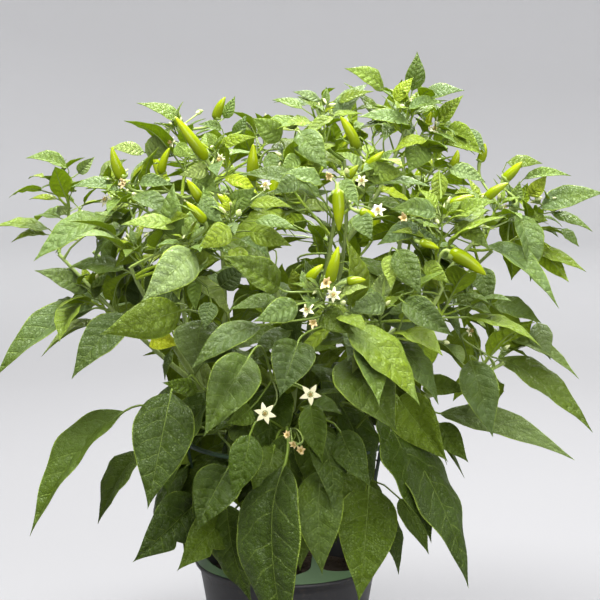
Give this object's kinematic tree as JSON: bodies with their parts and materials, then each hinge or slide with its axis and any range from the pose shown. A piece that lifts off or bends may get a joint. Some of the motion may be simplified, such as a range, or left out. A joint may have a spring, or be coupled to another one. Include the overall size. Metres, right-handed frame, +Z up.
{
  "type": "potted pepper plant",
  "caption": "Bushy chilli pepper plant with upright fruits and white star flowers, in a round plastic pot with a clip-on plant support.",
  "frame": {"origin": "centre of the pot's flat underside", "axes": "+Z up along the pot's axis, -Y towards the front of the plant, +X to the right seen from the front"},
  "size_m": [0.54, 0.4634, 0.6032],
  "materials": {
    "pot": "satin charcoal, slightly scuffed",
    "soil": "loose dark growing mix",
    "support": "satin green",
    "stem": "smooth green bark with darker nodes",
    "leaf": "satin, veined, darker when old",
    "pepper": "glossy, waxy",
    "petal": "matt, slightly translucent"
  },
  "bodies": {
    "root": {"pot": "pot", "soil": "soil", "support_arm_1": "support", "support_arm_2": "support", "support_arm_3": "support", "support_arm_4": "support", "support_ring_arc_1": "support", "support_ring_arc_2": "support", "support_ring_arc_3": "support", "support_ring_arc_4": "support", "main_stem": "stem", "limb_left": "stem", "limb_right": "stem", "limb_back_right": "stem", "limb_back_left": "stem", "limb_centre": "stem", "leaf_low_1": "leaf", "leaf_low_2": "leaf", "leaf_low_3": "leaf", "leaf_low_4": "leaf", "leaf_low_5": "leaf", "leaf_low_6": "leaf", "leaf_low_7": "leaf", "leaf_low_8": "leaf", "leaf_low_9": "leaf", "leaf_low_10": "leaf", "leaf_low_11": "leaf", "leaf_low_12": "leaf", "leaf_mid_1": "leaf", "leaf_mid_2": "leaf", "leaf_mid_3": "leaf", "leaf_mid_4": "leaf", "leaf_mid_5": "leaf", "leaf_mid_6": "leaf", "leaf_mid_7": "leaf", "leaf_mid_8": "leaf", "leaf_mid_9": "leaf", "leaf_mid_10": "leaf", "leaf_mid_11": "leaf", "leaf_mid_12": "leaf", "leaf_top_1": "leaf", "leaf_top_2": "leaf", "leaf_top_3": "leaf", "leaf_top_4": "leaf", "leaf_top_5": "leaf", "leaf_top_6": "leaf", "leaf_top_7": "leaf", "leaf_top_8": "leaf", "pepper_1": "pepper", "pepper_2": "pepper", "pepper_3": "pepper", "pepper_4": "pepper", "pepper_5": "pepper", "pepper_6": "pepper", "pepper_7": "pepper", "pepper_8": "pepper", "pepper_9": "pepper", "flower_1": "petal", "flower_2": "petal", "flower_3": "petal"}
  },
  "joints": []
}
